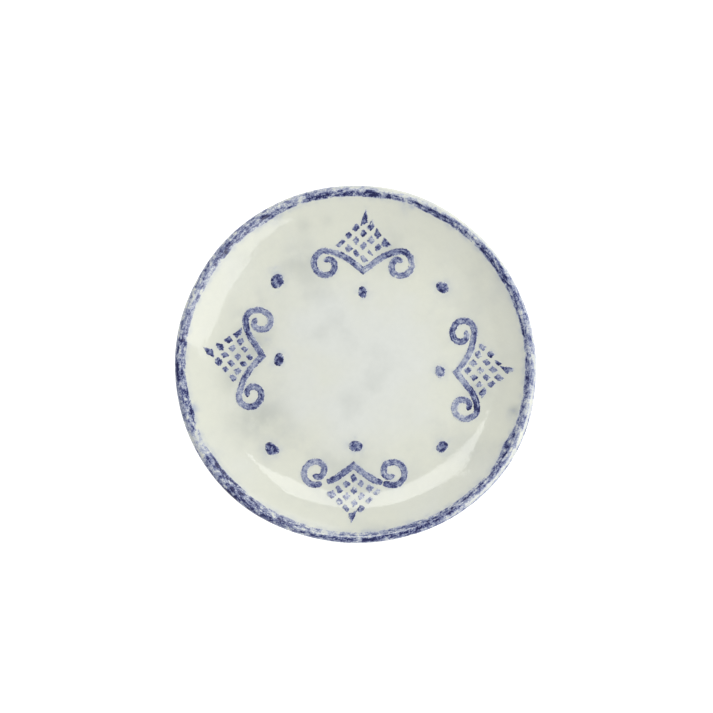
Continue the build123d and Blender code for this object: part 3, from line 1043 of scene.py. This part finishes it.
def cobalt_material(name, bristle, mottle, bias):
    """Cobalt under the glaze: bristle streaks and mottling set how much pigment lies where.

    bristle is (strength, scale of the brush attribute), mottle the strength of the two sizes of
    blotch, and bias what is added to the load that each mark carries.
    """
    shader = Shader(name)
    brush = shader.vector("MULTIPLY", shader.attribute("brush", "Vector"), bristle[1])
    streak = shader.times(shader.noise(1.0, 2.5, 4.0, brush), bristle[0])
    blotch = shader.times(shader.noise(2.6, 4.7, 2.0), mottle[0])
    fine = shader.times(shader.noise(0.8, 7.9, 2.0), mottle[1])
    edge = shader.attribute("edge")
    margin = shader.ramp(edge, 0.25, 0.75)
    pooled = shader.times(margin, shader.patches(3.0, 6.6, 2.0, -0.10, 0.15, -0.06, 0.18))
    bitten = shader.sum(edge, shader.times(shader.noise(0.75, 3.9, 3.0), 1.2))
    frayed = shader.ramp(bitten, 0.82, 1.14, 0.0, -0.85)
    load = shader.sum(shader.attribute("load"), bias)
    wild = shader.sum(streak, shader.sum(blotch, fine))
    uneven_load = shader.times(wild, shader.sum(0.5, shader.times(load, 0.6)))
    pigment = shader.sum(shader.sum(load, uneven_load), shader.sum(pooled, frayed))
    ramp = shader.add("ShaderNodeValToRGB", {0: pigment})
    stops = ramp.color_ramp.elements
    while len(stops) < len(COBALT_STOPS):
        stops.new(0.5)
    for stop, (place, color) in zip(stops, COBALT_STOPS):
        stop.position = place
        stop.color = color
    color = shader.blend(shader.ramp(pigment, *COVER), bloomed_glaze(shader), ramp.outputs[0])
    return shader.surface(color, glaze_relief(shader), GLAZE_ROUGHNESS)


def clay_material():
    """Buff clay, sanded by its grog and wiped round the foot."""
    shader = Shader("clay")
    color = shader.blend(shader.patches(14, 1.2, 4.0, -0.2, 0.2), CLAY, CLAY_DARK)
    grains = shader.patches(0.7, 3.3, 1.0, 0.16, 0.26)
    color = shader.blend(shader.times(grains, 0.6), color, SPECK)
    relief = shader.bump(shader.noise(0.9, 5.8, 4.0), 0.12)
    return shader.surface(color, relief, roughness=0.88)


def floor_material():
    """Plain white paper, glowing a little so that nothing darkens it."""
    shader = Shader("floor")
    tooth = shader.bump(shader.noise(1.5, 1.0), 0.02)
    glow = {"Emission Color": WHITE, "Emission Strength": 0.8}
    return shader.surface((0.5, 0.5, 0.5, 1.0), tooth, roughness=0.9, **glow)


# ----------
# The plate

# Grey stains of the glaze and smudges of stray cobalt: x, y, reach and strength.
STAINS = (
    (-31, 86, 5, 0.3), (-19, 90, 4, 0.35), (-32, 64, 15, 0.45), (-68, 14, 13, 0.85),
    (-60, -33, 14, 0.6), (-74, -8, 9, 0.5), (-3, -69, 13, 0.6), (75, -14, 11, 0.6), (20, 72, 12, 0.4),
    (96.2, -29.5, 3.2, 0.7),
)
SMUDGES = (
    (32.6, 96.5, 3.6, 0.65), (96.5, -31.5, 3.8, 0.8), (-99, -27, 4.0, 0.6), (-86, -56, 5.0, 0.5),
    (-49, 90.5, 3.5, 0.5), (-50, 60, 4.0, 0.4), (-54, 14.5, 3.5, 0.45), (60, 84, 3.0, 0.4),
)

# Strength of the bristle streaks, and scale of their noise along and across the brush and by seed.
MARKS_BRISTLE = (1.4, (0.14, 1.6, 1.0))
BAND_BRISTLE = (3.4, (1.0, 1.0, 1.0))

# How far the cobalt bled into the glaze round its marks, and how strongly.
BAND_HALO = (1.3, 0.42)
SCROLL_HALO = (1.2, 0.34)
LATTICE_HALO = (1.0, 0.28)
DOT_HALO = (2.2, 0.5)
HALO_FALL = 1.3  # power by which it fades


def point_values(piece, name, values):
    """Put a value on each point of a piece."""
    piece.data.attributes.new(name, "FLOAT", "POINT").data.foreach_set("value", values)


def paint_halo(glaze, marks):
    """Put on the glaze's points how near they are to a painted mark, and how stained they are."""
    near = KDTree(sum(len(piece.data.vertices) for piece, _ in marks))
    halos = []
    for piece, halo in marks:
        for vertex in piece.data.vertices:
            near.insert(vertex.co / MM, len(halos))
            halos.append(halo)
        point_values(piece, "halo", [halo[1]] * len(piece.data.vertices))
    near.balance()
    values, stains = [], []
    for vertex in glaze.data.vertices:
        spot = vertex.co / MM
        _, k, distance = near.find(spot)
        reach, strength = halos[k]
        bloom = strength * exp(-((distance / reach) ** HALO_FALL))
        values.append(min(1.0, bloom + blots(SMUDGES, spot)))
        stains.append(min(1.0, blots(STAINS, spot)))
    point_values(glaze, "halo", values)
    point_values(glaze, "stain", stains)


def blots(places, spot):
    """Sum of soft round blots at a point of the face."""
    if spot.z < RECESS_Z:
        return 0.0
    total = 0.0
    for x, y, reach, strength in places:
        total += strength * exp(-((spot.x - x) ** 2 + (spot.y - y) ** 2) / reach ** 2)
    return total


def build_plate():
    """Make every piece, in its material, standing for its CAD node."""
    clay = clay_material()
    glaze = glaze_material()
    marks_paint = cobalt_material("cobalt marks", MARKS_BRISTLE, mottle=(1.7, 1.5), bias=-0.12)
    band_paint = cobalt_material("cobalt band", BAND_BRISTLE, mottle=(2.0, 2.0), bias=-0.07)
    finish_piece(clay_body(), "clay", clay, "clay_body")
    finish_piece(foot_ring(), "clay", clay, "foot_ring")
    finish_piece(recess_glaze(), "tin_glaze", plain_glaze_material(), "recess_glaze")
    coat = finish_piece(glaze_coat(), "tin_glaze", glaze, "glaze_coat")
    halos = [(finish_piece(rim_band(), "cobalt", band_paint, "rim_band"), BAND_HALO)]

    def add_mark(piece, node, halo):
        halos.append((finish_piece(piece, "cobalt", marks_paint, node), halo))

    # The last number given for each mark is the seed of its unevenness, a different one for each.
    for n, (name, motif) in enumerate(MOTIFS.items()):
        for m, key in enumerate(("left", "right")):
            seed = 11 * n + 5 * m + 1
            add_mark(scroll_piece(name, key, motif, seed), f"{name}_scroll_{key}", SCROLL_HALO)
        add_mark(lattice_piece(name, motif, 17 * n + 3), f"{name}_lattice", LATTICE_HALO)
        u, v, *shape, turn, load = motif["dot"]
        turn += motif["outwards"] - 90
        add_mark(dot_piece(name, on_plate(motif, u, v), *shape, turn, load, 60 + n), f"{name}_dot", DOT_HALO)
    for n, (name, (x, y, *shape)) in enumerate(CORNER_DOTS.items()):
        add_mark(dot_piece(name, (x, y), *shape, 80 + n), f"{name}_dot", DOT_HALO)
    paint_halo(coat, halos)


build_plate()

# ----------
# Studio: a white floor, three softboxes, an even surround and the camera

PLATE_MIDDLE = Vector((0.0, 0.0, 0.012))

# Lean from straight up and direction in degrees, distance, width and depth in metres, direction of the
# width, and radiance. Directions run from +X towards +Y. The first makes the crescent of light on the
# lower part of the face, and the second the one at its upper left.
SOFTBOXES = {
    "softbox, far": (29.697, 107.063, 1.0, 0.68, 0.34, 10.76, 3.2),
    "softbox, right": (51.0, -29.5, 1.0, 0.84, 0.90, 60.61, 2.4),
    "softbox, side": (72.0, 60.0, 1.2, 1.2, 0.8, 150.11, 1.1),
}
SURROUND = 0.40
WHITE = (1.0, 1.0, 1.0, 1.0)
FLOOR_HALF = 20.0
FLOOR_Z_M = -0.0001
CAMERA_AIM = Vector((0.0013, 0.0042, 0.020))
CAMERA_LEAN = 9.0  # degrees off the plate's axis
CAMERA_TURN = -55.0  # the direction in which it leans
CAMERA_DISTANCE = 1.4
CAMERA_SENSOR = 36
CAMERA_LENS = 116.6


def leaning(lean, turn):
    """Unit vector leaning from straight up by so many degrees, towards a direction in degrees."""
    lean, turn = radians(lean), radians(turn)
    return Vector((sin(lean) * cos(turn), sin(lean) * sin(turn), cos(lean)))


def looking_at(place, back, distance, side):
    """Matrix of something that looks at a place, `side` being near its own x axis."""
    side = (side - back * side.dot(back)).normalized()
    turned = Matrix((side, back.cross(side), back)).transposed().to_4x4()
    return Matrix.Translation(place + back * distance) @ turned


def softbox(name, lean, turn, distance, width, depth, width_turn, radiance):
    """Area light facing the plate."""
    light = bpy.data.lights.new(name, "AREA")
    light.shape = "RECTANGLE"
    light.size = width
    light.size_y = depth
    light.energy = radiance * pi * width * depth
    lamp = add_object(name, light)
    lamp.matrix_world = looking_at(PLATE_MIDDLE, leaning(lean, turn), distance, leaning(90, width_turn))
    lamp.visible_camera = False


def white_floor():
    """Wide white sheet under the plate."""
    corners = [(-1, -1), (1, -1), (1, 1), (-1, 1)]
    mesh = bpy.data.meshes.new("floor")
    mesh.from_pydata([(x * FLOOR_HALF, y * FLOOR_HALF, FLOOR_Z_M) for x, y in corners], [], [(0, 1, 2, 3)])
    mesh.materials.append(floor_material())
    floor = add_object("floor", mesh)


def studio():
    """Floor, lights and surround."""
    white_floor()
    for name, setting in SOFTBOXES.items():
        softbox(name, *setting)
    world = bpy.data.worlds.new("surround")
    world.use_nodes = True
    light = world.node_tree.nodes["Background"].inputs
    light["Color"].default_value = WHITE
    light["Strength"].default_value = SURROUND
    bpy.context.scene.world = world
    bpy.context.scene.view_settings.view_transform = "Standard"


def place_camera():
    """Look down on the plate from a little off its axis, with north up."""
    camera = bpy.data.cameras.new("camera")
    camera.sensor_width = CAMERA_SENSOR
    camera.lens = CAMERA_LENS
    back = leaning(CAMERA_LEAN, CAMERA_TURN)
    east = Vector((0, 1, 0)).cross(back)
    viewer = add_object("camera", camera)
    viewer.matrix_world = looking_at(CAMERA_AIM, back, CAMERA_DISTANCE, east)
    bpy.context.scene.camera = viewer


studio()
place_camera()
